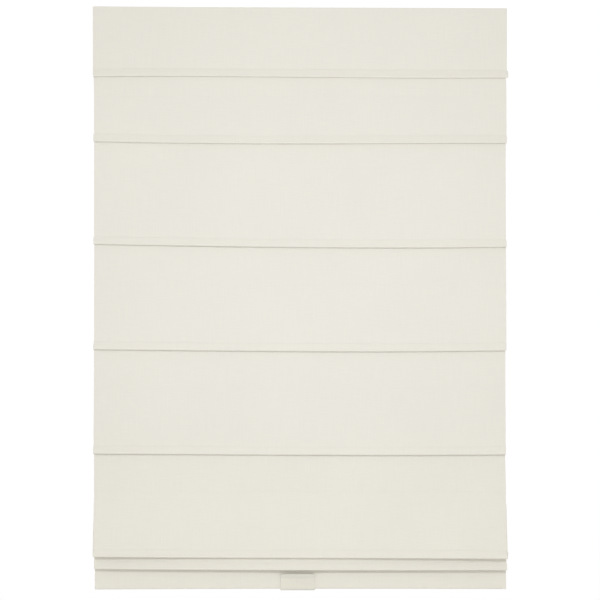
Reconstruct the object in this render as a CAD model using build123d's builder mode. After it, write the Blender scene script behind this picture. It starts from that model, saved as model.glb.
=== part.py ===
from build123d import *
import math
import os

os.makedirs("parts", exist_ok=True)

# ---------------------------------------------------------------------------
# Cordless roman blind with seven sewn front tucks. Millimetres.
# Origin: centre of the four wall screws, on the wall plane.
# +X right, +Y into the wall (the room is at -Y), +Z up.
# ---------------------------------------------------------------------------

# cloth
WIDTH = 800.0             # width of the cloth
CLOTH = 0.6               # its thickness
HALF = CLOTH / 2
TOP = 17.0                # height of the cloth's top edge
Y_CLOTH = -43.7           # middle of the cloth's thickness, at the top
LIPS = [134.4, 262.9, 463.1, 664.8, 866.0, 1065.2, 1088.4]  # tuck lips, below the top edge
RIBS = [171.6, 311.1, 535.9, 737.4, 938.0, 961.3, 984.5]    # back pocket seams, below the top edge
BOTTOM = 1127.5           # bottom edge, below the top edge
TUCK = 15.5               # depth of a tuck, lip to stitching
FORWARD = [0, 0, 0, 0, 0, 11.0, 5.5]  # how far each tuck stands forward of the hanging plane
LAYER = 0.75              # pitch of two sewn layers
TOP_HEM = 26.0
BOTTOM_HEM = 40.0
HEM_POCKET = 6.4          # from the front to the back layer of the bottom hem

# rods
TUCK_ROD_R = 1.6
TUCK_ROD_BACK = -1.6      # rod centre, from the cloth's plane
TUCK_WRAP = 2.2           # mid-thickness radius of the cloth around the rod
ROD_LENGTH = 794.0
RIB_ROD_R = 2.0
RIB_LENGTH = 786.0
SLEEVE_IN = 2.05
SLEEVE_OUT = 2.75
SLEEVE_Y = 5.6            # sleeve centre behind the cloth's plane
SLEEVE_DROP = 3.4         # sleeve centre below its seam
TAPE_LENGTH = 780.0
SEAM_Y = 2.1              # where the tape meets the cloth
RIB_CLOTH_Y = 1.7         # cloth's middle at the back pocket

# lift cords
CORD_X = 285.0
CORD_Y = 14.0             # behind the cloth's plane
CORD_R = 0.7
RING_R = 4.7
RING_WIRE = 0.85

# headrail, a channel open at the top with inturned lips
RAIL_LENGTH = 786.0
RAIL_BACK = -2.2
RAIL_DEPTH = 38.0
RAIL_TOP = 15.0
RAIL_HEIGHT = 32.0
RAIL_WALL = 1.0
RAIL_LIP = 7.0
RAIL_FRONT = RAIL_BACK - RAIL_DEPTH
RAIL_BOTTOM = RAIL_TOP - RAIL_HEIGHT
TAPE_HEIGHT = 22.0

# drive in the headrail
SHAFT_Y = -21.2
SHAFT_Z = -1.0
SHAFT_AF = 6.0            # across flats
SHAFT_LENGTH = 640.0
SPOOL_R = 7.8             # drum under the cord
WOUND_R = SPOOL_R + 2 * CORD_R
SPOOL_FLANGE_R = 11.0
SPOOL_LENGTH = 34.0
MOTOR_X = 120.0           # middle of the spring motor
MOTOR_LENGTH = 40.0
MOTOR_R = 13.2

# brackets
BRACKET_X = 330.0
BRACKET_WIDTH = 26.0
PLATE = 1.6
SCREW_PITCH = 16.0
SCREW_R = 2.4

# bottom bar and handle
BAR_HEIGHT = 23.0
BAR_THICK = 4.0
BAR_LENGTH = 776.0
HANDLE_WIDTH = 66.6
HANDLE_X = -4.6           # it sits a little to the left of the middle
HANDLE_HEIGHT = 33.1
HANDLE_WALL = 1.6
HANDLE_DROP = 1.6         # how far the handle reaches below the cloth


def yz(y, below):
    """A point of the blind's side view: y from the cloth's plane, below the top edge."""
    return (Y_CLOTH + y, TOP - below)


def bent(points, radii):
    """Straight runs and tangent arcs along a path: ('line', a, b) and ('arc', a, b, centre, r, turn)."""
    runs, at = [], points[0]
    for k in range(1, len(points) - 1):
        p, r = points[k], radii[k - 1]
        u = (points[k - 1][0] - p[0], points[k - 1][1] - p[1])
        v = (points[k + 1][0] - p[0], points[k + 1][1] - p[1])
        lu, lv = math.hypot(*u), math.hypot(*v)
        u, v = (u[0] / lu, u[1] / lu), (v[0] / lv, v[1] / lv)
        phi = math.acos(max(-1, min(1, u[0] * v[0] + u[1] * v[1])))
        t = r / math.tan(phi / 2)
        a = (p[0] + u[0] * t, p[1] + u[1] * t)
        b = (p[0] + v[0] * t, p[1] + v[1] * t)
        w = (u[0] + v[0], u[1] + v[1])
        lw = math.hypot(*w)
        c = (p[0] + w[0] / lw * r / math.sin(phi / 2), p[1] + w[1] / lw * r / math.sin(phi / 2))
        turn = 1 if (-u[0]) * v[1] - (-u[1]) * v[0] > 0 else -1
        if math.dist(at, a) > 1e-6:
            runs.append(("line", at, a))
        runs.append(("arc", a, b, c, r, turn))
        at = b
    runs.append(("line", at, points[-1]))
    return runs


def path_length(runs):
    total = 0.0
    for run in runs:
        if run[0] == "line":
            total += math.dist(run[1], run[2])
        else:
            _, a, b, c, r, _ = run
            total += 2 * r * math.asin(min(1, math.dist(a, b) / 2 / r))
    return total


def shifted(run, h):
    """One side of a run, h to its left."""
    if run[0] == "line":
        _, a, b = run
        d = math.dist(a, b)
        n = (-(b[1] - a[1]) / d * h, (b[0] - a[0]) / d * h)
        return ("line", (a[0] + n[0], a[1] + n[1]), (b[0] + n[0], b[1] + n[1]))
    _, a, b, c, r, turn = run
    k = (r - turn * h) / r
    a = (c[0] + (a[0] - c[0]) * k, c[1] + (a[1] - c[1]) * k)
    b = (c[0] + (b[0] - c[0]) * k, c[1] + (b[1] - c[1]) * k)
    m = ((a[0] + b[0]) / 2 - c[0], (a[1] + b[1]) / 2 - c[1])
    lm = math.hypot(*m)
    m = (c[0] + m[0] / lm * r * k, c[1] + m[1] / lm * r * k)
    return ("arc", a, m, b)


def draw_strip(runs, half):
    """The closed outline of a strip of cloth or tape along a path, inside a BuildLine."""
    left = [shifted(run, half) for run in runs]
    right = [shifted(run, -half) for run in runs]
    for side in (left, right):
        for run in side:
            if run[0] == "line":
                Line(run[1], run[2])
            else:
                ThreePointArc(run[1], run[2], run[3])
    Line(left[0][1], right[0][1])
    Line(left[-1][-1], right[-1][-1])


def rod_centre(k):
    """The middle of tuck k's rod, from the cloth's plane and below the top edge."""
    return (-FORWARD[k] + TUCK_ROD_BACK, LIPS[k] - HALF - TUCK_WRAP)


def tuck_points(k):
    """The cloth's corners around tuck k: stitching, front and back of the lip, stitching again."""
    q = (-FORWARD[k], LIPS[k] - TUCK)
    c = rod_centre(k)
    low = c[1] + TUCK_WRAP
    d = (c[0] - q[0], c[1] - q[1])
    span = math.hypot(*d)
    angle = math.atan2(d[1], d[0]) + math.asin(TUCK_WRAP / span)
    reach = (low - q[1]) / math.sin(angle)
    return [
        (q, 6.0),
        ((q[0] + reach * math.cos(angle), low), TUCK_WRAP),
        ((c[0] + TUCK_WRAP, low), TUCK_WRAP),
    ]


# the cloth's path, as (y, below the top edge) with a radius at each corner
corners = [((LAYER, TOP_HEM), None), ((LAYER, HALF), LAYER / 2), ((0, HALF), LAYER / 2)]
for k in range(7):
    corners += tuck_points(k)
    q = (-FORWARD[k], LIPS[k] - TUCK)
    if RIBS[k] > LIPS[k]:  # this loop hangs open
        corners += [
            ((q[0] + LAYER, q[1] - LAYER / 2), LAYER / 2),
            ((q[0] + 2 * LAYER, q[1] - LAYER / 2), LAYER / 2),
            ((RIB_CLOTH_Y, RIBS[k]), 30.0),
        ]
    else:  # this loop is folded up behind the tuck
        corners += [
            ((q[0] + LAYER + 0.05, q[1] - 0.5), 20.0),
            ((RIB_CLOTH_Y - 1.6, RIBS[k] + HALF), 0.72),
            ((RIB_CLOTH_Y, RIBS[k] + HALF), 0.72),
        ]
        if k < 6:  # the next panel passes in front of the next fold
            corners += [((-1.25, RIBS[k] + 23.0), 20.0)]
corners += [
    ((0, BOTTOM - 46.0), 40.0),
    ((0, BOTTOM - HALF), 3.1),
    ((HEM_POCKET, BOTTOM - HALF), 3.1),
    ((HEM_POCKET, BOTTOM - BOTTOM_HEM + 9.0), 4.0),
    ((LAYER, BOTTOM - BOTTOM_HEM), 4.0),
    ((LAYER, BOTTOM - BOTTOM_HEM - 7.0), None),
]
cloth_path = bent([yz(*p) for p, _ in corners], [r for _, r in corners[1:-1]])
print(f"cloth: flat {WIDTH:.0f} x {path_length(cloth_path):.1f} mm")

with BuildPart() as shade_fabric:
    with BuildSketch(Plane.YZ.offset(-WIDTH / 2)):
        with BuildLine():
            draw_strip(cloth_path, HALF)
        make_face()
    extrude(amount=WIDTH)
shade_fabric.part.label = "shade_fabric"
export_step(shade_fabric.part, "parts/shade_fabric.step")

# front rods, back rods, pocket tapes and rings, one set for each tuck
for k in range(7):
    n = k + 1
    y, below = rod_centre(k)
    with BuildPart() as rod:
        with BuildSketch(Plane.YZ.offset(-ROD_LENGTH / 2)):
            with Locations(yz(y, below)):
                Circle(TUCK_ROD_R)
        extrude(amount=ROD_LENGTH)
        chamfer(rod.edges().filter_by(GeomType.CIRCLE), 0.4)
    rod.part.label = f"rod_{n}"
    export_step(rod.part, f"parts/rod_{n}.step")

    centre = yz(SLEEVE_Y, RIBS[k] + SLEEVE_DROP)
    with BuildPart() as rib:
        with BuildSketch(Plane.YZ.offset(-RIB_LENGTH / 2)):
            with Locations(centre):
                Circle(RIB_ROD_R)
        extrude(amount=RIB_LENGTH)
        chamfer(rib.edges().filter_by(GeomType.CIRCLE), 0.5)
    rib.part.label = f"rib_{n}"
    export_step(rib.part, f"parts/rib_{n}.step")

    with BuildPart() as rib_tape:
        with BuildSketch(Plane.YZ.offset(-TAPE_LENGTH / 2)):
            with Locations(centre):
                Circle(SLEEVE_OUT)
            with BuildLine():
                Polyline(
                    yz(SEAM_Y, RIBS[k] + SLEEVE_DROP - SLEEVE_OUT),
                    yz(SLEEVE_Y, RIBS[k] + SLEEVE_DROP - SLEEVE_OUT),
                    yz(SLEEVE_Y, RIBS[k] + SLEEVE_DROP - SLEEVE_IN),
                    yz(SEAM_Y, RIBS[k] + SLEEVE_DROP - SLEEVE_IN),
                    close=True,
                )
            make_face()
            with Locations(centre):
                Circle(SLEEVE_IN, mode=Mode.SUBTRACT)
        extrude(amount=TAPE_LENGTH)
    rib_tape.part.label = f"rib_tape_{n}"
    export_step(rib_tape.part, f"parts/rib_tape_{n}.step")

    with BuildPart() as ring:
        for x in (-CORD_X, CORD_X):
            # the lug, with a saddle that fits the pocket
            with BuildSketch(Plane.YZ.offset(x - 2.5)):
                with Locations(yz(SLEEVE_Y + 2.2, RIBS[k] + SLEEVE_DROP)):
                    Rectangle(3.0, 3.6)
                with Locations(centre):
                    Circle(SLEEVE_OUT + 0.05, mode=Mode.SUBTRACT)
            extrude(amount=5.0)
            with BuildSketch(Plane.XZ.offset(-(Y_CLOTH + CORD_Y))):
                with Locations((x + RING_R, TOP - RIBS[k] - SLEEVE_DROP)):
                    Circle(RING_WIRE)
            revolve(
                axis=Axis((x, Y_CLOTH + CORD_Y, 0), (0, 0, 1)), revolution_arc=360
            )
    ring.part.label = f"ring_{n}"
    export_step(ring.part, f"parts/ring_{n}.step")

# headrail
with BuildPart() as headrail:
    with BuildSketch(Plane.YZ.offset(-RAIL_LENGTH / 2)) as rail_section:
        with BuildLine():
            outline = Polyline(
                (RAIL_BACK - RAIL_LIP, RAIL_TOP - RAIL_WALL / 2),
                (RAIL_BACK - RAIL_WALL / 2, RAIL_TOP - RAIL_WALL / 2),
                (RAIL_BACK - RAIL_WALL / 2, RAIL_BOTTOM + RAIL_WALL / 2),
                (RAIL_FRONT + RAIL_WALL / 2, RAIL_BOTTOM + RAIL_WALL / 2),
                (RAIL_FRONT + RAIL_WALL / 2, RAIL_TOP - RAIL_WALL / 2),
                (RAIL_FRONT + RAIL_LIP, RAIL_TOP - RAIL_WALL / 2),
            )
            offset(outline, amount=RAIL_WALL / 2, side=Side.BOTH, closed=True, mode=Mode.REPLACE)
        make_face()
    extrude(amount=RAIL_LENGTH)
    long_edges = headrail.edges().filter_by(Axis.X)
    corner_edges = [
        e for e in long_edges
        if min(abs(e.center().Y - RAIL_BACK), abs(e.center().Y - RAIL_FRONT)) < 0.1
        and min(abs(e.center().Z - RAIL_TOP), abs(e.center().Z - RAIL_BOTTOM)) < 0.1
    ]
    if corner_edges:
        fillet(corner_edges, 0.9)
    # cord slots in the floor of the channel
    for x in (-CORD_X, CORD_X):
        with BuildSketch(Plane.XY.offset(RAIL_BOTTOM)):
            with Locations((x, Y_CLOTH + CORD_Y)):
                SlotOverall(16.0, 9.0)
        extrude(amount=RAIL_WALL + 1.0, mode=Mode.SUBTRACT)
headrail.part.label = "headrail"
export_step(headrail.part, "parts/headrail.step")

# end caps: a face plate and a plug that fits inside the channel
for side, name in ((-1, "end_cap_left"), (1, "end_cap_right")):
    x0 = side * RAIL_LENGTH / 2
    with BuildPart() as end_cap:
        with BuildSketch(Plane.YZ.offset(x0)):
            with Locations((RAIL_BACK - RAIL_DEPTH / 2, RAIL_TOP - RAIL_HEIGHT / 2)):
                RectangleRounded(RAIL_DEPTH, RAIL_HEIGHT, 2.0)
        extrude(amount=2.4 * side)
        fillet(end_cap.faces().sort_by(Axis.X)[-1 if side > 0 else 0].edges(), 0.8)
        inner_y, inner_z = RAIL_DEPTH - 2 * RAIL_WALL - 0.4, RAIL_HEIGHT - 6.2
        with BuildSketch(Plane.YZ.offset(x0)):
            with Locations((RAIL_BACK - RAIL_DEPTH / 2, RAIL_BOTTOM + RAIL_WALL + 0.2 + inner_z / 2)):
                Rectangle(inner_y, inner_z)
                Rectangle(inner_y - 3.0, inner_z - 3.0, mode=Mode.SUBTRACT)
        extrude(amount=-12.0 * side)
    end_cap.part.label = name
    export_step(end_cap.part, f"parts/{name}.step")

# hook and loop tapes
TAPE_LOW = RAIL_TOP - 1.5 - TAPE_HEIGHT
with BuildPart() as hook_tape:
    with BuildSketch(Plane.XZ.offset(-RAIL_FRONT)):
        with Locations((0, TAPE_LOW + TAPE_HEIGHT / 2)):
            RectangleRounded(RAIL_LENGTH - 4, TAPE_HEIGHT, 1.5)
    extrude(amount=1.2)
hook_tape.part.label = "hook_tape"
export_step(hook_tape.part, "parts/hook_tape.step")

with BuildPart() as loop_tape:
    with BuildSketch(Plane.XZ.offset(-RAIL_FRONT + 1.2)):
        with Locations((0, TAPE_LOW + TAPE_HEIGHT / 2)):
            RectangleRounded(RAIL_LENGTH, TAPE_HEIGHT, 1.5)
    extrude(amount=(RAIL_FRONT - 1.2) - (Y_CLOTH + LAYER + HALF) - 0.05)
loop_tape.part.label = "loop_tape"
export_step(loop_tape.part, "parts/loop_tape.step")

# wall brackets, each stamped and bent from one strip
hook_top = RAIL_TOP - RAIL_WALL - 0.15
for side, name in ((-1, "wall_bracket_left"), (1, "wall_bracket_right")):
    x0 = side * BRACKET_X
    top = TOP + 0.5
    with BuildPart() as bracket:
        with BuildSketch(Plane.YZ.offset(x0 - BRACKET_WIDTH / 2)):
            with BuildLine():
                strip = bent(
                    [
                        (-PLATE / 2, -15.0),
                        (-PLATE / 2, top - PLATE / 2),
                        (-31.4, top - PLATE / 2),
                        (-31.4, hook_top - PLATE / 2),
                        (-37.5, hook_top - PLATE / 2),
                    ],
                    [1.6, 1.0, 1.0],
                )
                draw_strip(strip, PLATE / 2)
            make_face()
        extrude(amount=BRACKET_WIDTH)
        # the rear catch, lanced from the top plate and bent down and back under the channel's rear lip
        with BuildSketch(Plane.YZ.offset(x0 - 5.0)):
            with BuildLine():
                catch = bent(
                    [
                        (-17.0, top - PLATE / 2),
                        (-11.2, top - PLATE / 2),
                        (-11.2, hook_top - PLATE / 2),
                        (-5.0, hook_top - PLATE / 2),
                    ],
                    [1.0, 1.0],
                )
                draw_strip(catch, PLATE / 2)
            make_face()
        extrude(amount=10.0)
        # the windows left beside the lanced catch
        with BuildSketch(Plane.XY.offset(top - PLATE - 1)):
            with Locations((x0, -7.2)):
                Rectangle(10.0, 5.0)
        extrude(amount=PLATE + 1.5, mode=Mode.SUBTRACT)
        # wall screw holes
        with BuildSketch(Plane.XZ.offset(-1.0)):
            with Locations((x0, -SCREW_PITCH / 2), (x0, SCREW_PITCH / 2)):
                Circle(SCREW_R)
        extrude(amount=PLATE + 2.0, mode=Mode.SUBTRACT)
        # ceiling screw holes
        with BuildSketch(Plane.XY.offset(top - PLATE - 0.5)):
            with Locations((x0 - 8.0, -21.0), (x0 + 8.0, -21.0)):
                Circle(SCREW_R)
        extrude(amount=PLATE + 1.5, mode=Mode.SUBTRACT)
        plate_corners = [
            e for e in bracket.edges().filter_by(Axis.Y)
            if abs(e.center().Z + 15.0) < 0.1 and abs(abs(e.center().X - x0) - BRACKET_WIDTH / 2) < 0.1
        ]
        if plate_corners:
            fillet(plate_corners, 4.0)
    bracket.part.label = name
    export_step(bracket.part, f"parts/{name}.step")

# drive shaft
with BuildPart() as drive_shaft:
    with BuildSketch(Plane.YZ.offset(-SHAFT_LENGTH / 2)):
        with Locations((SHAFT_Y, SHAFT_Z)):
            RegularPolygon(SHAFT_AF / 2, 6, major_radius=False)
    extrude(amount=SHAFT_LENGTH)
    chamfer(drive_shaft.faces().filter_by(Axis.X).edges(), 0.5)
drive_shaft.part.label = "drive_shaft"
export_step(drive_shaft.part, "parts/drive_shaft.step")

# spools, their windings, their cradles
for side, name in ((-1, "left"), (1, "right")):
    # the cord leaves the front of the spool at x0; the drum lies inboard and outboard of it
    x0 = side * CORD_X
    a, b = x0 - SPOOL_LENGTH / 2, x0 + SPOOL_LENGTH / 2
    with BuildPart() as spool:
        with BuildSketch(Plane.XY.offset(SHAFT_Z)):
            with BuildLine():
                Polyline(
                    (a - 5.0, SHAFT_Y), (a - 5.0, SHAFT_Y + 5.4), (a, SHAFT_Y + 5.4),
                    (a, SHAFT_Y + SPOOL_FLANGE_R), (a + 1.6, SHAFT_Y + SPOOL_FLANGE_R),
                    (a + 3.2, SHAFT_Y + SPOOL_R), (b - 3.2, SHAFT_Y + SPOOL_R),
                    (b - 1.6, SHAFT_Y + SPOOL_FLANGE_R), (b, SHAFT_Y + SPOOL_FLANGE_R),
                    (b, SHAFT_Y + 5.4), (b + 5.0, SHAFT_Y + 5.4), (b + 5.0, SHAFT_Y),
                    close=True,
                )
            make_face()
        revolve(axis=Axis((0, SHAFT_Y, SHAFT_Z), (1, 0, 0)), revolution_arc=360)
        with BuildSketch(Plane.YZ.offset(a - 6.0)):
            with Locations((SHAFT_Y, SHAFT_Z)):
                RegularPolygon(SHAFT_AF / 2 + 0.05, 6, major_radius=False)
        extrude(amount=SPOOL_LENGTH + 12.0, mode=Mode.SUBTRACT)
    spool.part.label = f"spool_{name}"
    export_step(spool.part, f"parts/spool_{name}.step")

    with BuildPart() as winding:
        with BuildSketch(Plane.YZ.offset(x0 - CORD_R)):
            with Locations((SHAFT_Y, SHAFT_Z)):
                Circle(WOUND_R)
                Circle(SPOOL_R + 0.02, mode=Mode.SUBTRACT)
        extrude(amount=8 * 2 * CORD_R)
        chamfer(winding.edges().filter_by(GeomType.CIRCLE).sort_by(SortBy.RADIUS)[-2:], 0.4)
    winding.part.label = f"cord_winding_{name}"
    export_step(winding.part, f"parts/cord_winding_{name}.step")

    cradle_wall = 2.0
    with BuildPart() as cradle:
        floor = RAIL_BOTTOM + RAIL_WALL + 0.2
        base_front, base_back = RAIL_FRONT + RAIL_WALL + 0.3, RAIL_BACK - RAIL_WALL - 0.3
        base_y = (base_front + base_back) / 2
        with BuildSketch(Plane.XY.offset(floor)):
            with Locations((x0, base_y)):
                Rectangle(SPOOL_LENGTH + 14.0, base_back - base_front)
        extrude(amount=1.8)
        # end walls with the spool's bearings
        for x in (a - 4.4, b + 4.4 - cradle_wall):
            with BuildSketch(Plane.YZ.offset(x)):
                with BuildLine():
                    Polyline(
                        (base_front, floor), (base_front, floor + 20.0), (SHAFT_Y - 8.5, SHAFT_Z + 9.5),
                        (SHAFT_Y + 8.5, SHAFT_Z + 9.5), (base_back, floor + 20.0), (base_back, floor),
                        close=True,
                    )
                make_face()
                with Locations((SHAFT_Y, SHAFT_Z)):
                    Circle(5.5, mode=Mode.SUBTRACT)
            extrude(amount=cradle_wall)
        # low front and back rails that tie the end walls
        for y in (base_front, base_back - 1.8):
            with BuildSketch(Plane.XY.offset(floor)):
                with Locations((x0, y + 0.9)):
                    Rectangle(SPOOL_LENGTH + 8.8, 1.8)
            extrude(amount=9.0)
        # outlet nozzle through the channel's floor
        with BuildSketch(Plane.XY.offset(RAIL_BOTTOM - 2.5)):
            with Locations((x0, Y_CLOTH + CORD_Y)):
                SlotOverall(15.0, 8.0)
        extrude(amount=2.5 + RAIL_WALL + 0.2)
        with BuildSketch(Plane.XY.offset(RAIL_BOTTOM - 3.0)):
            with Locations((x0, Y_CLOTH + CORD_Y)):
                SlotOverall(9.0, 4.0)
        extrude(amount=8.0, mode=Mode.SUBTRACT)
    cradle.part.label = f"cradle_{name}"
    export_step(cradle.part, f"parts/cradle_{name}.step")

    # the lift cord, straight down through the rings to its anchor
    cord_top = SHAFT_Z - 5.0
    cord_end = TOP - BOTTOM + 19.0
    with BuildPart() as lift_cord:
        with BuildSketch(Plane.XY.offset(cord_end)):
            with Locations((x0, Y_CLOTH + CORD_Y)):
                Circle(CORD_R)
        extrude(amount=cord_top - cord_end)
    lift_cord.part.label = f"lift_cord_{name}"
    export_step(lift_cord.part, f"parts/lift_cord_{name}.step")

    # anchor: a clip against the hem's back with an arm and an eye cup below the cord's end
    back_y = Y_CLOTH + HEM_POCKET + HALF + 0.15
    with BuildPart() as anchor:
        with BuildSketch(Plane.XZ.offset(-back_y)):
            with Locations((x0, TOP - BOTTOM + 15.0)):
                RectangleRounded(16.0, 22.0, 2.5)
        extrude(amount=-1.8)
        with BuildSketch(Plane.XY.offset(TOP - BOTTOM + 11.0)):
            with Locations((x0, (back_y + Y_CLOTH + CORD_Y) / 2)):
                Rectangle(5.0, Y_CLOTH + CORD_Y - back_y)
            with Locations((x0, Y_CLOTH + CORD_Y)):
                Circle(3.6)
        extrude(amount=8.0)
        with BuildSketch(Plane.XY.offset(TOP - BOTTOM + 10.0)):
            with Locations((x0, Y_CLOTH + CORD_Y)):
                Circle(2.3)
        extrude(amount=6.5, mode=Mode.SUBTRACT)
        with BuildSketch(Plane.XY.offset(TOP - BOTTOM + 10.0)):
            with Locations((x0, Y_CLOTH + CORD_Y)):
                Circle(0.9)
        extrude(amount=12.0, mode=Mode.SUBTRACT)
    anchor.part.label = f"cord_anchor_{name}"
    export_step(anchor.part, f"parts/cord_anchor_{name}.step")

# spring motor: a round-bodied case on the shaft, its cover, the arbor and the flat spiral spring
m0 = MOTOR_X - MOTOR_LENGTH / 2
motor_base = RAIL_BOTTOM + RAIL_WALL + 0.2
with BuildPart() as motor_housing:
    with BuildSketch(Plane.YZ.offset(m0)):
        with Locations((SHAFT_Y, SHAFT_Z)):
            Circle(MOTOR_R + 1.4)
        with Locations((SHAFT_Y, (motor_base + SHAFT_Z) / 2)):
            Rectangle(34.8, SHAFT_Z - motor_base)
    extrude(amount=MOTOR_LENGTH)
    with BuildSketch(Plane.YZ.offset(m0 + 2.0)):
        with Locations((SHAFT_Y, SHAFT_Z)):
            Circle(MOTOR_R)
    extrude(amount=MOTOR_LENGTH, mode=Mode.SUBTRACT)
    with BuildSketch(Plane.YZ.offset(m0 - 1.0)):
        with Locations((SHAFT_Y, SHAFT_Z)):
            Circle(5.5)
    extrude(amount=5.0, mode=Mode.SUBTRACT)
motor_housing.part.label = "spring_motor_housing"
export_step(motor_housing.part, "parts/spring_motor_housing.step")

with BuildPart() as motor_cover:
    with BuildSketch(Plane.YZ.offset(m0 + MOTOR_LENGTH)):
        with Locations((SHAFT_Y, SHAFT_Z)):
            Circle(MOTOR_R + 1.4)
        with Locations((SHAFT_Y, (motor_base + SHAFT_Z) / 2)):
            Rectangle(34.8, SHAFT_Z - motor_base)
        with Locations((SHAFT_Y, SHAFT_Z)):
            Circle(5.5, mode=Mode.SUBTRACT)
    extrude(amount=2.0)
    with BuildSketch(Plane.YZ.offset(m0 + MOTOR_LENGTH)):
        with Locations((SHAFT_Y, SHAFT_Z)):
            Circle(MOTOR_R - 0.1)
            Circle(MOTOR_R - 1.3, mode=Mode.SUBTRACT)
    extrude(amount=-2.0)
motor_cover.part.label = "spring_motor_cover"
export_step(motor_cover.part, "parts/spring_motor_cover.step")

with BuildPart() as motor_arbor:
    with BuildSketch(Plane.YZ.offset(m0 - 3.0)):
        with Locations((SHAFT_Y, SHAFT_Z)):
            Circle(5.4)
    extrude(amount=MOTOR_LENGTH + 8.0)
    with BuildSketch(Plane.YZ.offset(m0 + 4.0)):
        with Locations((SHAFT_Y, SHAFT_Z)):
            Circle(6.2)
    extrude(amount=2.0)
    with BuildSketch(Plane.YZ.offset(m0 - 4.0)):
        with Locations((SHAFT_Y, SHAFT_Z)):
            RegularPolygon(SHAFT_AF / 2 + 0.05, 6, major_radius=False)
    extrude(amount=MOTOR_LENGTH + 12.0, mode=Mode.SUBTRACT)
motor_arbor.part.label = "motor_arbor"
export_step(motor_arbor.part, "parts/motor_arbor.step")

# the spring, a wound pack of thin steel strip whose turns are drawn as one
with BuildPart() as motor_spring:
    with BuildSketch(Plane.YZ.offset(m0 + 7.0)):
        with Locations((SHAFT_Y, SHAFT_Z)):
            Circle(MOTOR_R - 1.6)
            Circle(6.6, mode=Mode.SUBTRACT)
    extrude(amount=MOTOR_LENGTH - 11.0)
motor_spring.part.label = "motor_spring"
export_step(motor_spring.part, "parts/motor_spring.step")

# bottom bar, its caps
bar_y = Y_CLOTH + HEM_POCKET / 2
bar_z = TOP - BOTTOM + 2.9
with BuildPart() as bottom_bar:
    with BuildSketch(Plane.YZ.offset(-BAR_LENGTH / 2)):
        with Locations((bar_y, bar_z + BAR_HEIGHT / 2)):
            RectangleRounded(BAR_THICK, BAR_HEIGHT, 1.2)
    extrude(amount=BAR_LENGTH)
bottom_bar.part.label = "bottom_bar"
export_step(bottom_bar.part, "parts/bottom_bar.step")

for side, name in ((-1, "bottom_bar_cap_left"), (1, "bottom_bar_cap_right")):
    x0 = side * BAR_LENGTH / 2
    with BuildPart() as bar_cap:
        with BuildSketch(Plane.YZ.offset(x0 - side * 12.0)):
            with Locations((bar_y, bar_z + BAR_HEIGHT / 2)):
                RectangleRounded(BAR_THICK + 1.2, BAR_HEIGHT + 1.2, 1.7)
                RectangleRounded(BAR_THICK + 0.1, BAR_HEIGHT + 0.1, 1.2, mode=Mode.SUBTRACT)
        extrude(amount=side * 12.0)
        with BuildSketch(Plane.YZ.offset(x0)):
            with Locations((bar_y, bar_z + BAR_HEIGHT / 2)):
                RectangleRounded(BAR_THICK + 1.2, BAR_HEIGHT + 1.2, 1.7)
        extrude(amount=side * 2.5)
    bar_cap.part.label = name
    export_step(bar_cap.part, f"parts/{name}.step")

# the handle: a clear clip around the hem, with a finger ledge along its top edge
hem_front = Y_CLOTH - HALF
hem_back = Y_CLOTH + HEM_POCKET + HALF
low = TOP - BOTTOM - HANDLE_DROP
with BuildPart() as handle:
    with BuildSketch(Plane.YZ.offset(HANDLE_X - HANDLE_WIDTH / 2)):
        with BuildLine():
            clip = bent(
                [
                    (hem_front - 4.6, low + HANDLE_HEIGHT - 1.0),
                    (hem_front - 0.2 - HANDLE_WALL / 2, low + HANDLE_HEIGHT - 9.0),
                    (hem_front - 0.2 - HANDLE_WALL / 2, low + HANDLE_WALL / 2 - 0.2),
                    (hem_back + 0.2 + HANDLE_WALL / 2, low + HANDLE_WALL / 2 - 0.2),
                    (hem_back + 0.2 + HANDLE_WALL / 2, low + 22.0),
                ],
                [5.0, 3.4, 3.4],
            )
            draw_strip(clip, HANDLE_WALL / 2)
        make_face()
    extrude(amount=HANDLE_WIDTH)
    tips = [
        e for e in handle.edges()
        if abs(abs(e.center().X - HANDLE_X) - HANDLE_WIDTH / 2) < 0.01
        and e.center().Z > low + HANDLE_HEIGHT - 3
        and abs(e.length - HANDLE_WALL) < 0.05
    ]
    chamfer(tips, 2.2)
handle.part.label = "handle"
export_step(handle.part, "parts/handle.step")
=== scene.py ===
import math

import bpy
import numpy as np
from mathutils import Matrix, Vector, noise


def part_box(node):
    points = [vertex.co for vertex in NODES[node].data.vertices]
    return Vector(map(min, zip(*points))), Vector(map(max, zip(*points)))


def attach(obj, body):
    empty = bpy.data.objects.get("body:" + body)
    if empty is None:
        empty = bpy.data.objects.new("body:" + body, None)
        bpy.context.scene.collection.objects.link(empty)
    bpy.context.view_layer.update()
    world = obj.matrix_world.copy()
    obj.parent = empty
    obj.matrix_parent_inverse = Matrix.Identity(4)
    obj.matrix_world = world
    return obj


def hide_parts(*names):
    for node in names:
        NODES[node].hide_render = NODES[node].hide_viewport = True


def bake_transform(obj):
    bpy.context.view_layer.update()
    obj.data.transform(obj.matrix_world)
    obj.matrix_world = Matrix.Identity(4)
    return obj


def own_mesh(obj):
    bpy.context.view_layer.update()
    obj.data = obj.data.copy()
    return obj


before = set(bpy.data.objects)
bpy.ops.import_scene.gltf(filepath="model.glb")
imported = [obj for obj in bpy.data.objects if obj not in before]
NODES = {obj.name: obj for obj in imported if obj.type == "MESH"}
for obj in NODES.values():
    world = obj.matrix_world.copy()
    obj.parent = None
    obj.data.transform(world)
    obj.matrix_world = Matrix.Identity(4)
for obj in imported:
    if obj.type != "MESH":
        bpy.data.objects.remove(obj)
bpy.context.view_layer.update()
MM = 0.001

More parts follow.
